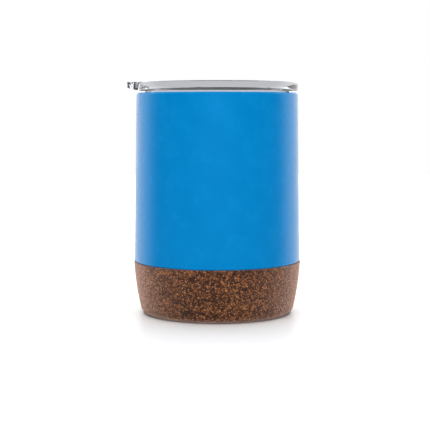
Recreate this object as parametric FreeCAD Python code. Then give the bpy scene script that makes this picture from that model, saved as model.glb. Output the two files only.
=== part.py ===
import FreeCAD
import Part
import math
import os

from FreeCAD import Vector

# A short travel tumbler: a double steel wall with a vacuum between, a moulded cork base,
# and a clear push-on lid with a slide over its drinking hole.
# Millimetres. +Z is up and the origin is at the middle of the flat underside.
# The lid's thumb tab points along -X and its drinking hole lies towards +X.

# ---- cup ----
cup_height = 107.8  # floor to the crest of the lip
shell_top_r = 39.45  # painted shell just under the lip
shell_flare = 1.2  # the painted shell is wider than that by this just above the cork
steel = 0.5  # every steel wall
lip_round = 1.25  # half the lip's width
shoulder_round = 0.9  # bends of the step that sits on the cork

# ---- cork base ----
cork_height = 25.4
cork_proud = 0.35  # the cork's upper edge stands out from the shell by this
cork_wall = 3.2  # side thickness
cork_floor = 3.0
cork_taper = 3.9  # the radius at the floor is smaller by this, before its corner is rounded
cork_bulge = 0.65  # how far the side bows out between its ends
cork_corner = 3.7
cork_edge_round = 0.4

# ---- steel underside, inside the cork ----
shell_corner = 4.0
flange_overlap = 2.3  # width of the welded flanges
dish_height = 3.7  # from the flange to the plate's underside
dish_round = 0.8
dimple_r = 4.6
dimple_depth = 1.2
tail_hole_r = 0.8  # the hole that the air is drawn through
bead_r = 2.8
bead_depth = 0.5
cover_play = 0.05
cover_rim = 2.1  # height of the cover's upturned rim

# ---- getter, which keeps the vacuum ----
getter_r = 3.9
getter_thickness = 2.6
getter_offset = 15.0  # from the cup's axis
getter_slack = 0.1
holder_sheet = 0.3
holder_flange = 2.4
holder_window_r = 1.8

# ---- liner ----
floor_gap = 1.2  # from the getter's holder to the liner
side_gap = 3.2  # between shell and liner at the cork's upper edge
seat_step = 3.5  # how far the liner narrows below the lid's seal
seat_round = 0.6
liner_corner = 8.0
weld_margin = 2.0  # from the liner's corner up to its weld

# ---- lid ----
lid_gap = 0.8  # daylight between the lip and the lid's rim
lid_wall = 2.0
rim_height = 4.4
rim_overhang = 0.1  # past the shell
rim_round = 0.4
rim_inner_round = 0.3
plug_inset = 1.7  # between the plug and the mouth, where the seal runs
plug_depth = 12.6  # below the rim's underside
plug_round = 0.4
plug_stop_gap = 0.25  # between the plug's foot and the liner's seat
skirt_wall = 1.6  # left behind the seal's groove
floor_drop = 1.8  # the lid's floor lies this far below the rim's underside
recess_round = 1.5
recess_draft = 0.3
shoulder_height = 1.6  # the recess's flat shoulder lies this far above the rim's underside
recess_edge_round = 0.3
rim_foot_round = 0.2  # where the shoulder meets the rim

# ---- thumb tab ----
tab_reach = 4.1  # past the rim
tab_half_width = 7.8
tab_root_round = 2.4
tab_corner = 2.4
tab_tip_thickness = 2.8
tab_ramp_start = 0.4  # height of the ramp's foot, at the tab's root, above the rim's underside

# ---- lid seal ----
groove_depth = 1.3
groove_height = 5.0
groove_lift = 2.0  # above the plug's foot
seal_play = 0.2  # clearance all round, because the seal is drawn unsqueezed
fin_count = 3
fin_thickness = 0.8
fin_round = 0.3

# ---- drinking hole, vent and slide track ----
hole_length = 6.0  # along X
hole_width = 13.0
hole_round = 2.6
hole_margin = 4.5  # from the hole to the corner of the recess
vent_r = 1.0
vent_margin = 5.0
track_wall = 2.0
track_height = 5.0  # above the lid's floor
track_corner = 3.0
track_inner_corner = 1.0
track_end_round = 0.9
track_front = 19.9  # from the lid's axis
track_lip = 1.1  # how far the track's lips reach over the slide
track_lip_thickness = 1.0

# ---- slide ----
slide_width = 18.0
slide_thickness = 1.6
slide_play = 0.25
slide_lift = 0.2  # between the slide and the lid's floor
slide_travel = 12.0
slide_end_gap = 0.5  # left at the track's end when the slide is open
slide_front_margin = 1.0  # from the slide's front to the corner of the recess
slide_corner = 2.0
rib_thickness = 2.0
rib_half_length = 5.0
rib_height = 2.4
grip_x = 5.6  # the grip's middle, with the slide closed
grip_foot = 6.6  # the grip's width at its foot and at its top
grip_waist = 4.2  # its width between the two finger hollows
grip_half_length = 6.6
grip_top_gap = 0.1  # below the rim's top
grip_round = 0.6
grip_play = 0.05
grip_margin = 0.8  # from the grip's foot to the slide's rear edge
pad_margin = 1.6  # the pad reaches past the hole by this
pad_thickness = 1.0
pad_floor_gap = 0.1
pad_play = 0.05  # round the pad, in its pocket
pad_round = 2.0

tiny = 1e-6
over = 1.0  # how far a cutting shape runs past the face that it opens

# ---- places that follow from the sizes above ----
mouth_r = shell_top_r - 2 * lip_round
crest_r = shell_top_r - lip_round
shell_foot_r = shell_top_r + shell_flare
cork_top_r = shell_foot_r + cork_proud
cork_foot_r = cork_top_r - cork_taper
shell_bottom_z = cork_floor
lower_top_r = cork_top_r - cork_wall
lower_foot_r = cork_foot_r + cork_taper * shell_bottom_z / cork_height - cork_wall
lower_lean = math.atan2(lower_top_r - lower_foot_r, cork_height - shell_bottom_z)
opening_r = lower_foot_r - shell_corner - flange_overlap
dish_flange_r = lower_foot_r - shell_corner
flange_top_z = shell_bottom_z + steel
plate_under_z = flange_top_z + dish_height
plate_top_z = plate_under_z + steel
dimple_roof_z = plate_under_z + dimple_depth
holder_top_z = plate_top_z + getter_thickness + getter_slack + holder_sheet
liner_floor_z = holder_top_z + floor_gap + steel
liner_weld_z = liner_floor_z + liner_corner + weld_margin
liner_weld_r = lower_top_r - 2 * steel - side_gap

rim_z = cup_height + lid_gap
rim_top_z = rim_z + rim_height
rim_r = shell_top_r + rim_overhang
tab_tip_x = -(rim_r + tab_reach)
tab_root_x = -math.sqrt(rim_r ** 2 - tab_half_width ** 2)
plug_r = mouth_r - plug_inset
plug_foot_z = rim_z - plug_depth
seat_z = plug_foot_z - plug_stop_gap
seat_r = mouth_r - seat_step
floor_z = rim_z - floor_drop
floor_under_z = floor_z - lid_wall
recess_r = plug_r - lid_wall
recess_floor_r = recess_r - recess_draft
groove_r = plug_r - groove_depth
groove_z = plug_foot_z + groove_lift
skirt_r = groove_r - skirt_wall

flat_floor_r = recess_floor_r - recess_round
hole_front = flat_floor_r - hole_margin
hole_back = hole_front - hole_length
slide_z = floor_z + slide_lift
slide_top_z = slide_z + slide_thickness
slide_front = flat_floor_r - slide_front_margin
slide_back = grip_x - grip_foot / 2 - grip_margin
track_half = slide_width / 2 + slide_play
track_back = slide_back - slide_travel - slide_end_gap
pad_z = floor_z + pad_floor_gap


# A closed wire through corners of (u, v, round). Each corner is blended by an arc of its
# round, and place turns a flat point into a point in space.
def rounded_wire(corners, place):
    count = len(corners)
    bends = []
    for i in range(count):
        here = Vector(corners[i][0], corners[i][1], 0)
        before = corners[i - 1]
        after = corners[(i + 1) % count]
        back = (Vector(before[0], before[1], 0) - here).normalize()
        ahead = (Vector(after[0], after[1], 0) - here).normalize()
        radius = corners[i][2]
        if radius < tiny:
            bends.append((here, here, here))
            continue
        half_angle = back.getAngle(ahead) / 2
        reach = radius / math.tan(half_angle)
        depth = radius / math.sin(half_angle) - radius
        middle = here + (back + ahead).normalize() * depth
        bends.append((here + back * reach, middle, here + ahead * reach))
    edges = []
    for i in range(count):
        start, middle, end = bends[i]
        if (end - start).Length > tiny:
            edges.append(Part.Arc(place(start), place(middle), place(end)).toShape())
        following = bends[(i + 1) % count][0]
        if (following - end).Length > tiny:
            edges.append(Part.makeLine(place(end), place(following)))
    return Part.Wire(edges)


# A solid of revolution about Z from corners of (radius, height, round).
def revolved(corners):
    wire = rounded_wire(corners, lambda p: Vector(p.x, 0, p.y))
    return Part.Face(wire).revolve(Vector(0, 0, 0), Vector(0, 0, 1), 360)


# A flat plate from corners of (x, y, round), between two heights.
def plate(corners, low, high):
    wire = rounded_wire(corners, lambda p: Vector(p.x, p.y, low))
    return Part.Face(wire).extrude(Vector(0, 0, high - low))


# A rectangular plate, centred on the X axis, with all its corners rounded alike.
def rectangle(back, front, half_width, radius, low, high):
    corners = [
        (back, -half_width, radius),
        (front, -half_width, radius),
        (front, half_width, radius),
        (back, half_width, radius),
    ]
    return plate(corners, low, high)


# A bar along Y, centred on the XZ plane, from corners of (x, z, round).
def bar(corners, half_length):
    wire = rounded_wire(corners, lambda p: Vector(p.x, -half_length, p.y))
    return Part.Face(wire).extrude(Vector(0, 2 * half_length, 0))


# A thin revolved wall: path(0) is one of its faces and path(thickness) is the other.
def wall(path, thickness):
    return revolved(path(0) + path(thickness)[::-1])


# The circular edges of a solid that have this radius and lie at this height.
def rings(shape, radius, height):
    found = []
    for edge in shape.Edges:
        round_edge = isinstance(edge.Curve, Part.Circle)
        if round_edge and abs(edge.Curve.Radius - radius) < tiny and abs(edge.Curve.Center.z - height) < tiny:
            found.append(edge)
    return found


# The shell's outer face, from the lip's crest to the opening in its underside.
def shell_path(inset):
    return [
        (crest_r, cup_height - inset, 0),
        (shell_top_r - inset, cup_height - inset, lip_round - inset),
        (shell_foot_r - inset, cork_height + inset, shoulder_round - inset),
        (lower_top_r - inset, cork_height + inset, shoulder_round - steel + inset),
        (lower_foot_r - inset, shell_bottom_z + inset, shell_corner - inset),
        (opening_r, shell_bottom_z + inset, 0),
    ]


# Everything inside the shell's outer face, which the cork has to leave free.
def shell_volume():
    face = shell_path(0)
    return revolved([(0, cup_height, 0)] + face[:-1] + [(0, shell_bottom_z, 0)])


# The liner's drinking face, from the lip's crest, over the lid's seat, to its weld.
def liner_path(inset):
    return [
        (crest_r, cup_height - inset, 0),
        (mouth_r + inset, cup_height - inset, lip_round - inset),
        (mouth_r + inset, seat_z - inset, seat_round + inset),
        (seat_r + inset, seat_z - inset, seat_round + steel - inset),
        (liner_weld_r + inset, liner_weld_z, 0),
    ]


def liner_bottom_path(inset):
    return [
        (liner_weld_r + inset, liner_weld_z, 0),
        (liner_weld_r + inset, liner_floor_z - inset, liner_corner + inset),
        (0, liner_floor_z - inset, 0),
    ]


# The underside of the dished plate that closes the vacuum, with its dimple and tail hole.
def vacuum_base_path(inset):
    outer_bend = dish_round - inset
    inner_bend = dish_round - steel + inset
    return [
        (dish_flange_r, flange_top_z + inset, 0),
        (opening_r + inset, flange_top_z + inset, outer_bend),
        (opening_r + inset, plate_under_z + inset, inner_bend),
        (dimple_r + inset, plate_under_z + inset, outer_bend),
        (dimple_r + inset, dimple_roof_z + inset, inner_bend),
        (tail_hole_r, dimple_roof_z + inset, 0),
    ]


# The bead of solder glass that sealed the tail hole in the furnace.
def glass_seal():
    return revolved([
        (0, dimple_roof_z - bead_depth, 0),
        (bead_r, dimple_roof_z - bead_depth, bead_depth / 2),
        (bead_r, dimple_roof_z, 0),
        (tail_hole_r, dimple_roof_z, 0),
        (tail_hole_r, dimple_roof_z + steel, 0),
        (0, dimple_roof_z + steel, 0),
    ])


def getter():
    return Part.makeCylinder(getter_r, getter_thickness, Vector(getter_offset, 0, plate_top_z))


# A small sheet hat over the getter, spot-welded to the dished plate.
def getter_holder():
    inner = getter_r + getter_slack
    outer = inner + holder_sheet
    hat = revolved([
        (holder_window_r, holder_top_z - holder_sheet, 0),
        (inner, holder_top_z - holder_sheet, 0),
        (inner, plate_top_z, 0),
        (outer + holder_flange, plate_top_z, 0),
        (outer + holder_flange, plate_top_z + holder_sheet, 0),
        (outer, plate_top_z + holder_sheet, 0),
        (outer, holder_top_z, holder_sheet),
        (holder_window_r, holder_top_z, 0),
    ])
    hat.translate(Vector(getter_offset, 0, 0))
    return hat


# The flat cover that closes the shell's opening, with an upturned rim.
def base_cover():
    outer = opening_r - cover_play
    return revolved([
        (0, shell_bottom_z, 0),
        (outer, shell_bottom_z, steel),
        (outer, shell_bottom_z + cover_rim, 0),
        (outer - steel, shell_bottom_z + cover_rim, 0),
        (outer - steel, shell_bottom_z + steel, 0),
        (0, shell_bottom_z + steel, 0),
    ])


# One end of the cork's side arc, blended into a flat face at this height. Its three points
# are on the flat, halfway round the blend, and on the side arc. up is 1 at the floor and -1
# at the top.
def cork_blend(side, height, radius, up):
    z = height + up * radius
    reach = side.Radius - radius
    x = side.Center.x + math.sqrt(reach ** 2 - (z - side.Center.z) ** 2)
    middle = Vector(x, 0, z)
    outward = (middle - side.Center).normalize()
    across = (outward - Vector(0, 0, up)).normalize()
    return Vector(x, 0, height), middle + across * radius, middle + outward * radius


# The cork's side is one shallow arc, and the shell's outer face shapes its inside.
def cork_base():
    foot = Vector(cork_foot_r, 0, 0)
    edge = Vector(cork_top_r, 0, cork_height)
    belly = (foot + edge) / 2 + Vector(cork_bulge, 0, 0)
    side = Part.Arc(foot, belly, edge).toShape().Curve
    low_flat, low_middle, low_side = cork_blend(side, 0, cork_corner, 1)
    high_flat, high_middle, high_side = cork_blend(side, cork_height, cork_edge_round, -1)
    axis_foot = Vector(0, 0, 0)
    axis_top = Vector(0, 0, cork_height)
    section = Part.Wire([
        Part.makeLine(axis_foot, low_flat),
        Part.Arc(low_flat, low_middle, low_side).toShape(),
        Part.Arc(low_side, belly, high_side).toShape(),
        Part.Arc(high_side, high_middle, high_flat).toShape(),
        Part.makeLine(high_flat, axis_top),
        Part.makeLine(axis_top, axis_foot),
    ])
    block = Part.Face(section).revolve(axis_foot, Vector(0, 0, 1), 360)
    return block.cut(shell_volume())


# The lid's rim as a full disc, with the thumb tab standing out of it.
def rim_with_tab():
    disc = Part.makeCylinder(rim_r, rim_height, Vector(0, 0, rim_z))
    inside = tab_root_x + tab_reach
    tab = plate(
        [
            (tab_tip_x, -tab_half_width, tab_corner),
            (inside, -tab_half_width, 0),
            (inside, tab_half_width, 0),
            (tab_tip_x, tab_half_width, tab_corner),
        ],
        rim_z,
        rim_top_z,
    )
    body = disc.fuse(tab.cut(tab_ramp())).removeSplitter()
    roots = []
    for edge in body.Edges:
        middle = edge.CenterOfMass
        if abs(middle.x - tab_root_x) < tiny and abs(abs(middle.y) - tab_half_width) < tiny:
            roots.append(edge)
    body = body.makeFillet(tab_root_round, roots)
    top_edges = [e for e in body.Edges if e.BoundBox.ZMin > rim_top_z - tiny]
    return body.makeFillet(rim_round, top_edges)


# The wedge below the tab that gives the thumb its ramp.
def tab_ramp():
    slope = (rim_height - tab_tip_thickness - tab_ramp_start) / (tab_root_x - tab_tip_x)

    def ramp_z(x):
        return rim_z + tab_ramp_start + slope * (tab_root_x - x)

    inner = tab_root_x + tab_reach
    outer = tab_tip_x - over
    return bar(
        [
            (inner, rim_z - over, 0),
            (inner, ramp_z(inner), 0),
            (outer, ramp_z(outer), 0),
            (outer, rim_z - over, 0),
        ],
        2 * tab_half_width,
    )


# The hollow in the lid's top: floor, wall, flat shoulder and the rim's inner face.
def recess():
    shoulder_z = rim_z + shoulder_height
    inner_rim_r = rim_r - lid_wall
    return revolved([
        (0, floor_z, 0),
        (recess_floor_r, floor_z, recess_round),
        (recess_r, shoulder_z, recess_edge_round),
        (inner_rim_r, shoulder_z, rim_foot_round),
        (inner_rim_r, rim_top_z + over, 0),
        (0, rim_top_z + over, 0),
    ])


# The plug below the rim, with its groove for the seal and hollow from below.
def plug():
    body = revolved([
        (0, plug_foot_z, 0),
        (plug_r, plug_foot_z, plug_round),
        (plug_r, rim_z, 0),
        (0, rim_z, 0),
    ])
    hollow = revolved([
        (0, plug_foot_z - over, 0),
        (skirt_r, plug_foot_z - over, 0),
        (skirt_r, floor_under_z, recess_round),
        (0, floor_under_z, 0),
    ])
    groove = revolved([
        (groove_r, groove_z, 0),
        (plug_r + over, groove_z, 0),
        (plug_r + over, groove_z + groove_height, 0),
        (groove_r, groove_z + groove_height, 0),
    ])
    return body.cut(hollow).cut(groove)


# The U-shaped wall that guides the slide, with a lip over each of its sides.
def track():
    outer = track_half + track_wall
    end = track_back - track_wall
    body = plate(
        [
            (track_front, -outer, track_end_round),
            (track_front, -track_half, track_end_round),
            (track_back, -track_half, track_inner_corner),
            (track_back, track_half, track_inner_corner),
            (track_front, track_half, track_end_round),
            (track_front, outer, track_end_round),
            (end, outer, track_corner),
            (end, -outer, track_corner),
        ],
        floor_z,
        floor_z + track_height,
    )
    lip_z = slide_top_z + slide_play
    lip_length = track_front - track_end_round - track_back
    for side in (-1, 1):
        low_y = min(side * (track_half - track_lip), side * (track_half + track_end_round))
        corner = Vector(track_back, low_y, lip_z)
        lip = Part.makeBox(lip_length, track_lip + track_end_round, track_lip_thickness, corner)
        body = body.fuse(lip)
    return body


def lid():
    body = rim_with_tab().fuse(plug()).cut(recess())
    body = body.makeFillet(rim_inner_round, rings(body, rim_r - lid_wall, rim_top_z))
    hole = rectangle(hole_back, hole_front, hole_width / 2, hole_round, floor_under_z - over, floor_z + over)
    vent = Part.makeCylinder(
        vent_r, lid_wall + 2 * over, Vector(vent_margin - flat_floor_r, 0, floor_under_z - over)
    )
    return body.cut(hole).cut(vent).fuse(track()).removeSplitter()


# The soft ring in the plug's groove, with fins towards the mouth.
def lid_seal():
    low = groove_z + seal_play
    height = groove_height - 2 * seal_play
    fin_r = mouth_r - seal_play
    pitch = (height - fin_thickness) / (fin_count - 1)
    corners = [(groove_r + seal_play, low, 0)]
    for i in range(fin_count):
        z = low + i * pitch
        if i > 0:
            corners.append((plug_r, z, 0))
        corners.append((fin_r, z, fin_round))
        corners.append((fin_r, z + fin_thickness, fin_round))
        if i < fin_count - 1:
            corners.append((plug_r, z + fin_thickness, 0))
    corners.append((groove_r + seal_play, low + height, 0))
    return revolved(corners)


# The sliding plate, with a pocket below for its pad and a rib above for its grip.
def slider():
    body = rectangle(slide_back, slide_front, slide_width / 2, slide_corner, slide_z, slide_top_z)
    pocket = pad_shape(pad_play, slide_z - over, pad_z + pad_thickness)
    rib = Part.makeBox(
        rib_thickness,
        2 * rib_half_length,
        rib_height,
        Vector(grip_x - rib_thickness / 2, -rib_half_length, slide_top_z),
    )
    return body.cut(pocket).fuse(rib)


# The dark grip over the slide's rib. Its two long sides are hollowed for a fingertip.
def slider_grip():
    top_z = rim_top_z - grip_top_gap
    middle_z = (slide_top_z + top_z) / 2
    foot = grip_foot / 2
    waist = grip_waist / 2

    def at(x, z):
        return Vector(grip_x + x, -grip_half_length, z)

    section = Part.Wire([
        Part.makeLine(at(-foot, slide_top_z), at(foot, slide_top_z)),
        Part.Arc(at(foot, slide_top_z), at(waist, middle_z), at(foot, top_z)).toShape(),
        Part.makeLine(at(foot, top_z), at(-foot, top_z)),
        Part.Arc(at(-foot, top_z), at(-waist, middle_z), at(-foot, slide_top_z)).toShape(),
    ])
    body = Part.Face(section).extrude(Vector(0, 2 * grip_half_length, 0))
    body = body.makeFillet(grip_round, [e for e in body.Edges if e.BoundBox.ZMin > top_z - tiny])
    pocket = Part.makeBox(
        rib_thickness + 2 * grip_play,
        2 * (rib_half_length + grip_play),
        rib_height + grip_play + over,
        Vector(grip_x - rib_thickness / 2 - grip_play, -rib_half_length - grip_play, slide_top_z - over),
    )
    return body.cut(pocket)


def pad_shape(extra, low, high):
    reach = pad_margin + extra
    return rectangle(
        hole_back - reach, hole_front + reach, hole_width / 2 + reach, pad_round + extra, low, high
    )


parts = {
    "outer_shell": wall(shell_path, steel),
    "inner_liner": wall(liner_path, steel),
    "liner_bottom": wall(liner_bottom_path, steel),
    "vacuum_base": wall(vacuum_base_path, steel),
    "glass_seal": glass_seal(),
    "getter": getter(),
    "getter_holder": getter_holder(),
    "base_cover": base_cover(),
    "cork_base": cork_base(),
    "lid": lid(),
    "lid_seal": lid_seal(),
    "slider": slider(),
    "slider_grip": slider_grip(),
    "slider_seal": pad_shape(0, pad_z, pad_z + pad_thickness),
}

os.makedirs("parts", exist_ok=True)
for name, shape in parts.items():
    print(f"{name:14s} solids {len(shape.Solids)} valid {shape.isValid()} volume {shape.Volume:9.1f}")
    shape.exportStep(f"parts/{name}.step")
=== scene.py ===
import math

import bmesh
import bpy
import numpy as np
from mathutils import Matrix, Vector


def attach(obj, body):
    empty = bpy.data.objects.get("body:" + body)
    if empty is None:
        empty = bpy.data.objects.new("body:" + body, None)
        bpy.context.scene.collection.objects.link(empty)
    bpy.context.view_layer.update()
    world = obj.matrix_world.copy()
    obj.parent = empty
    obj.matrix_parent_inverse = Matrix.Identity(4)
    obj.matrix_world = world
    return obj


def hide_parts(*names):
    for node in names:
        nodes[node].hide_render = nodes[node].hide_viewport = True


# A vacuum tumbler with a cork base and a clear slide lid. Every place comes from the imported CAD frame,
# in metres: Z is the tumbler's axis, the floor is z = 0, and -Y is its front.

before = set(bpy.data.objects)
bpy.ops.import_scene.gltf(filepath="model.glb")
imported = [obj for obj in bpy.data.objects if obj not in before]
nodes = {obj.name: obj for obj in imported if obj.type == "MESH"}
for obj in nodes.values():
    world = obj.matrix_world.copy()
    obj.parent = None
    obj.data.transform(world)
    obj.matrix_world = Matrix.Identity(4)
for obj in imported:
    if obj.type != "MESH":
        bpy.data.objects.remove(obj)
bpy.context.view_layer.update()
mm = 0.001
onTheAxis = 1e-9  # a radius below this is the axis itself
print("frame loaded with", len(nodes), "nodes")


def nodeEdges(node):
    # the two ends of every edge of a node's mesh
    mesh = nodes[node].data
    flat = np.zeros(len(mesh.vertices) * 3, np.float32)
    mesh.vertices.foreach_get("co", flat)
    ends = np.zeros(len(mesh.edges) * 2, np.int32)
    mesh.edges.foreach_get("vertices", ends)
    return flat.reshape(-1, 3).astype(float)[ends.reshape(-1, 2)].transpose(1, 0, 2)


def ringAt(edges, height):
    # the smallest and largest distance from the axis where edges cross a height: along an edge the crossing
    # lies at the share of its rise that is below the height
    low, high = edges
    crosses = (low[:, 2] - height) * (high[:, 2] - height) <= 0
    low, high = low[crosses], high[crosses]
    rise = high[:, 2] - low[:, 2]
    share = (height - low[:, 2]) / np.where(np.abs(rise) < 1e-12, 1, rise)
    crossing = low + (high - low) * np.clip(share, 0, 1)[:, None]
    radii = np.hypot(crossing[:, 0], crossing[:, 1])
    return radii.min(), radii.max()


def sectionOf(node, skip=0.02 * mm, thin=0.2 * mm):
    # a turned node's closed outline as (radius, height): up its outside and down its inside. It is read just
    # above and below each height where the node has vertices. A disc has no inside, so it closes on the axis.
    edges = nodeEdges(node)
    levels = np.unique(np.round(edges[0, :, 2], 6))
    keep = np.concatenate([[True], np.diff(levels) > skip])
    levels = np.unique(np.concatenate([levels[keep], levels[-1:]]))
    beside = 0.002 * mm
    heights = np.sort(np.concatenate([levels[:-1] + beside, levels[1:] - beside]))
    rings = np.array([ringAt(edges, height) for height in heights])
    inner = np.stack([rings[:, 0], heights], 1)
    outer = np.stack([rings[:, 1], heights], 1)
    hollow = rings[:, 1] - rings[:, 0] > thin
    if hollow.all():
        return np.concatenate([outer, inner[::-1]])
    floorTop = heights[hollow][0]
    foot, well = [[0.0, heights[0]]], [[0.0, floorTop]]
    return np.concatenate([foot, outer, inner[hollow][::-1], well])


def spaced(outline, step):
    # points added along an outline's straight runs, so that no run is longer than the step
    onAxis = outline[0, 0] < onTheAxis
    starts, ends = (outline[:-1], outline[1:]) if onAxis else (outline, np.roll(outline, -1, 0))
    counts = np.maximum(1, np.ceil(np.linalg.norm(ends - starts, axis=1) / step).astype(int))
    which = np.repeat(np.arange(len(starts)), counts)
    order = np.arange(len(which)) - np.repeat(np.cumsum(counts) - counts, counts)
    share = (order / counts[which])[:, None]
    points = starts[which] + (ends - starts)[which] * share
    return np.concatenate([points, outline[-1:]]) if onAxis else points


def latticeNoise(points, size, seed):
    # smooth random values from 0 to 1: the eight corner values of each lattice cell, blended by a smooth
    # step. A corner's value comes from scrambling the bits of its place and the seed.
    place = points / size
    cell = np.floor(place).astype(np.int64)
    part = place - cell
    part = part * part * (3 - 2 * part)
    total = np.zeros(len(points))
    for corner in np.ndindex(2, 2, 2):
        here = cell + corner
        mixed = here[:, 0] * 73856093 ^ here[:, 1] * 19349663 ^ here[:, 2] * 83492791 ^ seed * 2654435761
        mixed = (mixed ^ (mixed >> 13)) * 1274126177 & 0xFFFFFFFF
        value = ((mixed ^ (mixed >> 16)) & 0xFFFF) / 0xFFFF
        share = np.where(corner, part, 1 - part).prod(1)
        total += value * share
    return total


def turned(name, outline, turns, relief=None):
    # an outline carried round the Z axis: point (i, j) is outline point i turned by j equal steps. An outline
    # that starts and ends on the axis closes there in two fans, and any other outline closes on itself.
    onAxis = outline[0, 0] < onTheAxis
    ring = outline[1:-1] if onAxis else outline
    angle = 2 * math.pi * np.arange(turns) / turns
    across = ring[:, 0][:, None]
    points = np.stack([across * np.cos(angle), across * np.sin(angle), ring[:, 1][:, None] + 0 * angle], -1)
    points = points.reshape(-1, 3)
    if relief is not None:
        points = relief(points, ring)
    index = np.arange(len(points)).reshape(len(ring), turns)
    here, above = (index[:-1], index[1:]) if onAxis else (index, np.roll(index, -1, 0))
    quads = np.stack([here, np.roll(here, -1, 1), np.roll(above, -1, 1), above], -1).reshape(-1, 4)
    faces = quads.tolist()
    if onAxis:
        foot, well = len(points), len(points) + 1
        points = np.concatenate([points, [[0, 0, outline[0, 1]], [0, 0, outline[-1, 1]]]])
        faces += np.stack([0 * index[0] + foot, np.roll(index[0], -1), index[0]], -1).tolist()
        faces += np.stack([0 * index[0] + well, index[-1], np.roll(index[-1], -1)], -1).tolist()
    mesh = bpy.data.meshes.new(name)
    mesh.from_pydata(points.tolist(), [], faces)
    return pieceFrom(name, mesh)


def cadCopy(name, node):
    # a copy of a CAD node's loose triangles, joined into closed surfaces
    return pieceFrom(name, nodes[node].data.copy())


def pieceFrom(name, mesh, merge=0.002 * mm, sharpAngle=28):
    # points that coincide are merged, faces turned outwards, and edges kept sharp past an angle
    joined = bmesh.new()
    joined.from_mesh(mesh)
    bmesh.ops.remove_doubles(joined, verts=joined.verts, dist=merge)
    bmesh.ops.recalc_face_normals(joined, faces=joined.faces)
    joined.to_mesh(mesh)
    joined.free()
    mesh.shade_smooth()
    mesh.set_sharp_from_angle(angle=math.radians(sharpAngle))
    piece = bpy.data.objects.new(name, mesh)
    bpy.context.scene.collection.objects.link(piece)
    faceWeight = piece.modifiers.new("faceWeight", "WEIGHTED_NORMAL")
    faceWeight.keep_sharp = True
    return piece


def install(piece, body, node, material):
    # the piece gets its finish, moves with a body, and stands in for a CAD node
    piece.data.materials.clear()
    piece.data.materials.append(material)
    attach(piece, body)
    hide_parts(node)
    print("made", piece.name, "with", len(piece.data.polygons), "faces")


class Wire:
    # the value that leaves a shader node: + - and * add Math nodes, and node() adds any other node
    def __init__(self, tree, socket=None):
        self.tree = tree
        self.socket = socket

    def node(self, kind, settings=None, sockets=None, output=0):
        # a new node of this kind: its settings first, then a value or a link for each socket
        made = self.tree.nodes.new("ShaderNode" + kind)
        for key, value in (settings or {}).items():
            if key == "stops":
                self.setStops(made.color_ramp, value)
            else:
                setattr(made, key, value)
        for key, value in (sockets or {}).items():
            if isinstance(value, Wire):
                self.tree.links.new(value.socket, made.inputs[key])
            else:
                made.inputs[key].default_value = value
        return Wire(self.tree, made.outputs[output] if len(made.outputs) else None)

    def setStops(self, ramp, stops):
        # a ramp's stops, each a place from 0 to 1 and its colour
        while len(ramp.elements) < len(stops):
            ramp.elements.new(1.0)
        for stop, (position, colour) in zip(ramp.elements, stops):
            stop.position = position
            stop.color = (*colour, 1.0)

    def maths(self, operation, first, second):
        # one Math node on two values
        return self.node("Math", {"operation": operation}, {0: first, 1: second})

    def __add__(self, other):
        return self.maths("ADD", self, other)

    def __sub__(self, other):
        return self.maths("SUBTRACT", self, other)

    def __rsub__(self, other):
        return self.maths("SUBTRACT", other, self)

    def __mul__(self, other):
        return self.maths("MULTIPLY", self, other)

    __radd__, __rmul__ = __add__, __mul__

    def step(self, low, high):
        # 0 below low, 1 above high, smooth between
        sockets = {"Value": self, "From Min": low, "From Max": high}
        return self.node("MapRange", {"interpolation_type": "SMOOTHSTEP"}, sockets)

    def mix(self, first, second):
        # the first colour where this value is 0, the second where it is 1
        return self.node("Mix", {"data_type": "RGBA"}, {0: self, 6: first, 7: second}, output=2)

    def noise(self, size, detail=2.0, roughness=0.5, stretch=(1, 1, 1)):
        # random lumps about this size in metres, on this point, longer where stretch is small
        point = self.node("Mapping", None, {"Vector": self, "Scale": stretch})
        sockets = {"Vector": point, "Scale": 1 / size, "Detail": detail, "Roughness": roughness}
        return self.node("TexNoise", None, sockets)

    def cells(self, size, output, feature="F1"):
        # irregular cells about this size: a random colour for each, or the distance to its edge
        sockets = {"Vector": self, "Scale": 1 / size, "Randomness": 1.0}
        return self.node("TexVoronoi", {"feature": feature}, sockets, output)

    def bump(self, depth):
        # this height as a normal: a rise from 0 to 1 stands for the depth in metres
        return self.node("Bump", None, {"Height": self, "Distance": depth})


def newFinish(name):
    # an empty material, and the point on the object as the first wire in it
    material = bpy.data.materials.new(name)
    material.use_nodes = True
    material.node_tree.nodes.clear()
    point = Wire(material.node_tree).node("TexCoord", output="Object")
    return material, point


def close(material, sockets):
    # one Principled shader with these sockets, to the output
    start = Wire(material.node_tree)
    shader = start.node("BsdfPrincipled", None, sockets)
    start.node("OutputMaterial", None, {"Surface": shader})
    return material


paint = {
    "colour": (0.0006, 0.222, 0.560),
    "deeper": (0.0004, 0.210, 0.538),
    "sheen": (0.12, 0.60, 1.0),
    "satin": 0.25,
    "index": 1.6,
    "drift": 9 * mm,
    "dust": 0.13 * mm,
    "peelSize": 0.5 * mm,
    "peelDepth": 0.0035 * mm,
}


def bluePaint():
    # satin sprayed enamel: fine orange peel, a slow drift in the colour, and small changes of gloss
    material, point = newFinish("bluePaint")
    drift = point.noise(paint["drift"], detail=3).step(0.35, 0.65)
    peel = point.noise(paint["peelSize"], detail=2)
    dust = point.noise(paint["dust"], detail=1)
    return close(material, {
        "Base Color": drift.mix((*paint["deeper"], 1), (*paint["colour"], 1)),
        "Roughness": paint["satin"] + 0.05 * (drift - 0.5) + 0.06 * (dust - 0.5),
        "Normal": (peel + 0.25 * dust).bump(paint["peelDepth"]),
        "IOR": paint["index"],
        "Specular Tint": (*paint["sheen"], 1),
    })


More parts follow.
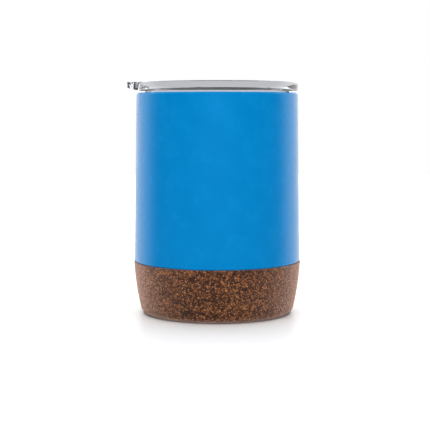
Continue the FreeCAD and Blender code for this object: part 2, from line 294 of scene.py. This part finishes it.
steel = {
    "colour": (0.60, 0.60, 0.61),
    "darker": (0.52, 0.52, 0.53),
    "gloss": 0.24,
    "cloudSize": 14 * mm,
    "lineSize": 0.09 * mm,
    "lineDepth": 0.002 * mm,
}


def brushedSteel():
    # stainless steel finished on a lathe: fine lines run round the axis, across walls and floor alike
    material, point = newFinish("brushedSteel")
    height = point.node("SeparateXYZ", None, {"Vector": point}, output="Z")
    flat = point.node("VectorMath", {"operation": "MULTIPLY"}, {0: point, 1: (1, 1, 0)})
    radius = point.node("VectorMath", {"operation": "LENGTH"}, {0: flat}, output="Value")
    section = point.node("CombineXYZ", None, {"X": radius, "Y": height})
    slow = point.noise(steel["cloudSize"], detail=2)
    lines = section.noise(steel["lineSize"], detail=3, roughness=0.65)
    tone = 0.5 * lines + 0.5 * slow
    return close(material, {
        "Base Color": tone.mix((*steel["darker"], 1), (*steel["colour"], 1)),
        "Metallic": 1.0,
        "Roughness": steel["gloss"] + 0.16 * (lines - 0.5) + 0.1 * (slow - 0.5),
        "Normal": lines.bump(steel["lineDepth"]),
    })


cork = {
    "granule": 1.0 * mm,
    "fleck": 0.66 * mm,
    "binder": (0.018, 0.012, 0.012),
    "bark": (0.050, 0.022, 0.015),
    "rust": (0.210, 0.070, 0.024),
    "straw": (0.640, 0.250, 0.090),
    "patch": 5 * mm,
    "warp": 1.3 * mm,
    "wander": 0.9 * mm,
    "wanderReach": 1.1 * mm,
    "grit": 0.25 * mm,
    "index": 1.6,
    "tint": (1.0, 0.55, 0.38),
    "bloom": (1.0, 0.66, 0.55),
    "bloomWeight": 0.8,
    "bloomSpread": 0.42,
    "relief": 0.10 * mm,
    "lump": 1.1 * mm,
    "smallLump": 0.55 * mm,
    "smoothEdge": 0.6 * mm,
    "bumpDepth": 0.16 * mm,
}


def corkGranules():
    # pressed cork: irregular granules in a dark binder, each with its own brown, some of them pale flecks,
    # and a dusty bloom that shows at a slant
    material, point = newFinish("corkGranules")
    warp = point.noise(cork["warp"], detail=2)
    sockets = {"Vector": point, "Scale": 1 / cork["wander"], "Detail": 2.0}
    wander = point.node("TexNoise", None, sockets, output="Color")
    sockets = {0: wander, 1: (cork["wanderReach"],) * 3, 2: point}
    push = point.node("VectorMath", {"operation": "MULTIPLY_ADD"}, sockets)
    brown = point.node("SeparateColor", None, {"Color": push.cells(cork["granule"], "Color")})
    light = point.node("SeparateColor", None, {"Color": push.cells(cork["fleck"], "Color")})
    granuleEdge = push.cells(cork["granule"], "Distance", "DISTANCE_TO_EDGE")
    fleckEdge = push.cells(cork["fleck"], "Distance", "DISTANCE_TO_EDGE")
    patches = point.noise(cork["patch"], detail=2).step(0.3, 0.7)
    ramp = {"stops": [
        (0.00, cork["binder"]),
        (0.48, cork["bark"]),
        (0.66, cork["rust"]),
        (0.90, cork["rust"]),
        (1.00, cork["straw"]),
    ]}
    granules = brown.node("ValToRGB", ramp, {"Fac": brown * 0.75 + 0.25 * warp})
    isFleck = (light + 0.10 * (patches - 0.5)).step(0.66, 0.73) * fleckEdge.step(0.04, 0.16)
    gap = 1 - granuleEdge.step(0.02, 0.14)
    speckled = isFleck.mix(granules, (*cork["straw"], 1))
    surface = (0.85 * gap).mix(speckled, (*cork["binder"], 1))
    height = granuleEdge.step(0.0, 0.35) * 0.6 + 0.4 * light + 0.3 * point.noise(cork["grit"])
    return close(material, {
        "Base Color": surface,
        "Roughness": 0.58 + 0.2 * gap - 0.1 * isFleck,
        "Normal": height.bump(cork["bumpDepth"]),
        "IOR": cork["index"],
        "Specular IOR Level": 1.0,
        "Specular Tint": (*cork["tint"], 1),
        "Sheen Weight": cork["bloomWeight"],
        "Sheen Roughness": cork["bloomSpread"],
        "Sheen Tint": (*cork["bloom"], 1),
    })


clear = {
    "tint": (0.905, 0.925, 0.975),
    "paler": (0.925, 0.945, 0.985),
    "index": 1.57,
    "gloss": 0.015,
    "flowSize": 5 * mm,
    "flowDepth": 0.004 * mm,
}


def clearPlastic():
    # injection-moulded clear plastic, with the faint waves that the flowing melt leaves
    material, point = newFinish("clearPlastic")
    flow = point.noise(clear["flowSize"], detail=2, stretch=(1, 1, 0.5))
    return close(material, {
        "Base Color": flow.mix((*clear["tint"], 1), (*clear["paler"], 1)),
        "Transmission Weight": 1.0,
        "Roughness": clear["gloss"],
        "IOR": clear["index"],
        "Normal": flow.bump(clear["flowDepth"]),
    })


grip = {
    "colour": (0.020, 0.021, 0.026),
    "rubbed": (0.030, 0.031, 0.037),
    "rubSize": 4 * mm,
    "grainSize": 0.35 * mm,
    "grainDepth": 0.02 * mm,
}


def darkGrip():
    # charcoal moulded rubber with a fine spark-eroded grain, a little shinier where fingers rub it
    material, point = newFinish("darkGrip")
    grainy = point.noise(grip["grainSize"], detail=3, roughness=0.6)
    rubbed = point.noise(grip["rubSize"], detail=2).step(0.4, 0.65)
    return close(material, {
        "Base Color": rubbed.mix((*grip["colour"], 1), (*grip["rubbed"], 1)),
        "Roughness": 0.5 - 0.12 * rubbed + 0.15 * (grainy - 0.5),
        "Normal": grainy.bump(grip["grainDepth"]),
    })


rubber = {
    "colour": (0.80, 0.81, 0.83),
    "cloudy": (0.74, 0.755, 0.78),
    "cloudSize": 6 * mm,
    "milkiness": 4 * mm,
    "grainSize": 0.5 * mm,
    "grainDepth": 0.01 * mm,
}


def whiteSilicone():
    # frosted milky silicone: a matt skin with a soft cloudiness
    material, point = newFinish("whiteSilicone")
    skin = point.noise(rubber["grainSize"], detail=2)
    cloud = point.noise(rubber["cloudSize"], detail=2).step(0.3, 0.7)
    return close(material, {
        "Base Color": cloud.mix((*rubber["cloudy"], 1), (*rubber["colour"], 1)),
        "Roughness": 0.46 + 0.12 * (skin - 0.5),
        "Normal": skin.bump(rubber["grainDepth"]),
        "Subsurface Weight": 0.25,
        "Subsurface Radius": (rubber["milkiness"],) * 3,
        "Subsurface Scale": 0.5,
    })


tablet = {
    "dark": (0.10, 0.10, 0.105),
    "pale": (0.30, 0.29, 0.28),
    "pitSize": 0.3 * mm,
    "pitDepth": 0.05 * mm,
}


def getterMetal():
    # sintered powder: a dull, pitted grey tablet
    material, point = newFinish("getterMetal")
    pits = point.noise(tablet["pitSize"], detail=4, roughness=0.7)
    return close(material, {
        "Base Color": pits.mix((*tablet["dark"], 1), (*tablet["pale"], 1)),
        "Metallic": 0.8,
        "Roughness": 0.6 + 0.25 * (pits - 0.5),
        "Normal": pits.bump(tablet["pitDepth"]),
    })


bead = {
    "dark": (0.012, 0.030, 0.022),
    "pale": (0.035, 0.065, 0.050),
    "swirlSize": 1.2 * mm,
    "swirlDepth": 0.03 * mm,
}


def solderGlass():
    # a bead of dark green sealing glass that has melted and set
    material, point = newFinish("solderGlass")
    swirl = point.noise(bead["swirlSize"], detail=3)
    return close(material, {
        "Base Color": swirl.mix((*bead["dark"], 1), (*bead["pale"], 1)),
        "Roughness": 0.12 + 0.1 * swirl,
        "Normal": swirl.bump(bead["swirlDepth"]),
    })


finish = {
    "blue_paint": bluePaint(),
    "steel": brushedSteel(),
    "cork": corkGranules(),
    "clear_plastic": clearPlastic(),
    "dark_grip": darkGrip(),
    "silicone": whiteSilicone(),
    "getter_metal": getterMetal(),
    "solder_glass": solderGlass(),
}
print("finishes made:", len(finish))


# how finely the pieces are turned: steps round the axis, and the longest run between points of an outline
wallTurns = 288
corkTurns = 512
run = {
    "wall": 4 * mm,
    "bottom": 3 * mm,
    "seal": 1 * mm,
    "cork": 0.42 * mm,
}


def corkRelief(points, outline):
    # granules stand in relief: two sizes of noise push the outside in towards the axis. The rows after the
    # highest one are the inside, which stays smooth, and the relief fades out just below the upper edge.
    top = outline[:, 1].argmax()
    onOutside = np.arange(len(outline)) <= top
    fade = np.clip((outline[top, 1] - outline[:, 1]) / cork["smoothEdge"], 0, 1) * onOutside
    lumps = 0.65 * latticeNoise(points, cork["lump"], 3) + 0.35 * latticeNoise(points, cork["smallLump"], 8)
    depth = cork["relief"] * np.clip(1.25 * lumps - 0.1, 0, 1) * np.repeat(fade, corkTurns)
    radius = np.maximum(np.hypot(points[:, 0], points[:, 1]), mm)
    return points * np.stack([1 - depth / radius, 1 - depth / radius, np.ones(len(points))], 1)


def makeCup():
    # the steel walls and the cork are turned from the outlines of their CAD nodes
    shell = turned("paintedShell", spaced(sectionOf("outer_shell"), run["wall"]), wallTurns)
    install(shell, "cup", "outer_shell", finish["blue_paint"])
    liner = turned("steelLiner", spaced(sectionOf("inner_liner"), run["wall"]), wallTurns)
    install(liner, "cup", "inner_liner", finish["steel"])
    bottom = turned("linerBottom", spaced(sectionOf("liner_bottom"), run["bottom"]), wallTurns)
    install(bottom, "cup", "liner_bottom", finish["steel"])
    base = turned("corkCup", spaced(sectionOf("cork_base"), run["cork"]), corkTurns, corkRelief)
    install(base, "cup", "cork_base", finish["cork"])


def makeLid():
    # the seal is turned too, and what isn't round is a joined copy of its CAD node
    lid = cadCopy("clearLid", "lid")
    install(lid, "lid", "lid", finish["clear_plastic"])
    lid.visible_shadow = False  # light reaches the cup through the clear lid
    ring = turned("sealRing", spaced(sectionOf("lid_seal"), run["seal"]), wallTurns)
    install(ring, "seal", "lid_seal", finish["silicone"])
    plate = cadCopy("slidePlate", "slider")
    install(plate, "slide", "slider", finish["clear_plastic"])
    plate.visible_shadow = False
    handle = cadCopy("slideGrip", "slider_grip")
    install(handle, "slide", "slider_grip", finish["dark_grip"])
    pad = cadCopy("slidePad", "slider_seal")
    install(pad, "slide", "slider_seal", finish["silicone"])


def dressHidden():
    # the nodes inside the cork and the vacuum keep their CAD shape and get their finish
    for node in ("vacuum_base", "base_cover", "getter_holder", "getter", "glass_seal"):
        slot = nodes[node].data.materials[0].name
        nodes[node].data.materials[0] = finish[slot.split(".")[0]]


makeCup()
makeLid()
dressHidden()


stage = {
    "floorSize": 2.4,
    "floorMiddle": (0, 0.1, -0.0002),
    "floorGrey": (0.90, 0.90, 0.90),
    "floorPale": (0.92, 0.92, 0.92),
    "floorGrain": 2 * mm,
    "eye": (-0.00104, -0.582, 0.0982),
    "pitch": -4.948,
    "lens": 99.0,
    "sky": 1.35,
    "aim": (0, 0, 0.055),
}

# each lamp's place, what it faces, its width and height, and its power in watts
lamps = {
    "frontLeft": ((-0.3, -1.6, 0.50), stage["aim"], (0.9, 0.9), 6.6),
    "frontRight": ((0.3, -1.6, 0.50), stage["aim"], (0.9, 0.9), 6.6),
    "overhead": ((0, 0.2, 1.9), (0, 0.2, 0), (2.4, 2.4), 58),
    "behind": ((0, 1.7, 0.8), stage["aim"], (1.2, 0.9), 10),
}


def layFloor():
    # a flat, faintly glossy square just below z = 0. Reflections in the cup don't show it.
    half = stage["floorSize"] / 2
    corners = np.array([(-half, -half, 0), (half, -half, 0), (half, half, 0), (-half, half, 0)])
    mesh = bpy.data.meshes.new("floor")
    mesh.from_pydata((corners + stage["floorMiddle"]).tolist(), [], [(0, 1, 2, 3)])
    floor = bpy.data.objects.new("floor", mesh)
    bpy.context.scene.collection.objects.link(floor)
    material, point = newFinish("paleFloor")
    grainy = point.noise(stage["floorGrain"], detail=2)
    mesh.materials.append(close(material, {
        "Base Color": grainy.mix((*stage["floorGrey"], 1), (*stage["floorPale"], 1)),
        "Roughness": 0.32,
        "Specular IOR Level": 0.1,
    }))
    floor.visible_glossy = False


def lightSky():
    # white to the camera. To reflections it is bright behind the cup and dark in front of it, with a smooth
    # step between. Seen through clear pieces, and falling on matt ones, it keeps a small part of that
    # brightness and gains an even grey.
    world = bpy.data.worlds.new("studio")
    bpy.context.scene.world = world
    world.use_nodes = True
    world.node_tree.nodes.clear()
    start = Wire(world.node_tree)
    direction = start.node("TexCoord", output="Generated")
    backward = start.node("SeparateXYZ", None, {"Vector": direction}, output="Y")
    bright = backward.step(-0.06, 0.5) * stage["sky"]
    camera = start.node("LightPath", output="Is Camera Ray")
    matt = start.node("LightPath", output="Is Diffuse Ray")
    through = start.node("LightPath", output="Is Transmission Ray")
    sky = bright * (1 - 0.90 * matt - 0.78 * through) + 0.12 * matt + 0.30 * through
    strength = camera + (1 - camera) * sky
    shader = start.node("Background", None, {"Color": (1, 1, 1, 1), "Strength": strength})
    start.node("OutputWorld", None, {"Surface": shader})


def softLight(name, place, target, size, power):
    # a rectangular lamp that faces its target, and that reflections and clear pieces don't show
    light = bpy.data.lights.new(name, "AREA")
    light.shape = "RECTANGLE"
    light.size, light.size_y = size
    light.energy = power
    lamp = bpy.data.objects.new(name, light)
    bpy.context.scene.collection.objects.link(lamp)
    lamp.location = place
    lamp.rotation_euler = (Vector(target) - Vector(place)).to_track_quat("-Z", "Y").to_euler()
    lamp.visible_glossy = False
    lamp.visible_transmission = False


def setCamera():
    # level across, and pitched down from the horizontal
    camera = bpy.data.cameras.new("camera")
    camera.lens = stage["lens"]
    camera.sensor_width = 36
    eye = bpy.data.objects.new("camera", camera)
    bpy.context.scene.collection.objects.link(eye)
    eye.location = stage["eye"]
    eye.rotation_euler = (math.radians(90 + stage["pitch"]), 0, 0)
    bpy.context.scene.camera = eye


layFloor()
lightSky()
for name, (place, target, size, power) in lamps.items():
    softLight(name, place, target, size, power)
setCamera()
bpy.context.scene.view_settings.view_transform = "Standard"
print("stage ready")
